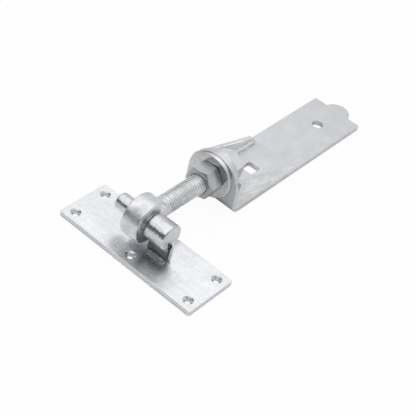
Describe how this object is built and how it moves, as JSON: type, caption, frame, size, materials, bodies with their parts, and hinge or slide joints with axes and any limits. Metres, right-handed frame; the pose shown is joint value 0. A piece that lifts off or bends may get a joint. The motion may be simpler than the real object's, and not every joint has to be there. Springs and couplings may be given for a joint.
{
  "type": "adjustable gate hinge",
  "caption": "Adjustable gate hinge: a hook pin on a screwed plate carries an eye bolt whose threaded rod is clamped by nuts to a bent-up strap band.",
  "frame": {"origin": "centre of the hook plate's back face", "axes": "+Z out of the hook plate, +Y along the hook pin to its free end, +X along the eye bolt's rod to the strap's tongue"},
  "size_m": [0.329, 0.15, 0.0524],
  "materials": {
    "plate": "zinc plated, satin, on rolled flat bar",
    "pin": "zinc plated, turned",
    "web": "zinc plated, satin",
    "weld": "zinc plated weld bead",
    "eye_bolt": "zinc plated forging with a rolled thread",
    "nut": "bright zinc plated",
    "washer": "bright zinc plated, stamped",
    "band": "zinc plated, satin, on rolled flat bar",
    "side_plate": "zinc plated, satin"
  },
  "bodies": {
    "hook": {"hook_plate": "plate", "hook_pin": "pin", "pin_web": "web", "plate_weld_near": "weld", "plate_weld_far": "weld", "pin_weld_near": "weld", "pin_weld_far": "weld"},
    "eye_bolt": {"eye_bolt": "eye_bolt"},
    "band": {"band": "band", "outer_washer": "washer", "inner_washer": "washer", "side_plate_near": "side_plate", "side_plate_far": "side_plate", "side_weld_near": "weld", "side_weld_far": "weld"},
    "outer_nut": {"outer_nut": "nut"},
    "inner_nut": {"inner_nut": "nut"}
  },
  "joints": [
    {"name": "eye_swing", "type": "hinge", "parent": "hook", "child": "eye_bolt", "pos_m": [0.0012, 0.0076, 0.0306], "axis": [0, -1, 0], "range_deg": [0, 180]},
    {"name": "band_slide", "type": "slide", "parent": "eye_bolt", "child": "band", "axis": [1, 0, 0], "range_m": [-0.04, 0.004]},
    {"name": "outer_nut_turn", "type": "hinge", "parent": "band", "child": "outer_nut", "pos_m": [0.07745, 0.0076, 0.0306], "axis": [1, 0, 0], "range_deg": [-5765, 581]},
    {"name": "inner_nut_turn", "type": "hinge", "parent": "band", "child": "inner_nut", "pos_m": [0.10755, 0.0076, 0.0306], "axis": [1, 0, 0], "range_deg": [-5765, 581]}
  ],
  "couplings": [
    {"joint": "outer_nut_turn", "follows": "band_slide", "rad_per_m": 2513.3},
    {"joint": "inner_nut_turn", "follows": "band_slide", "rad_per_m": 2513.3}
  ]
}
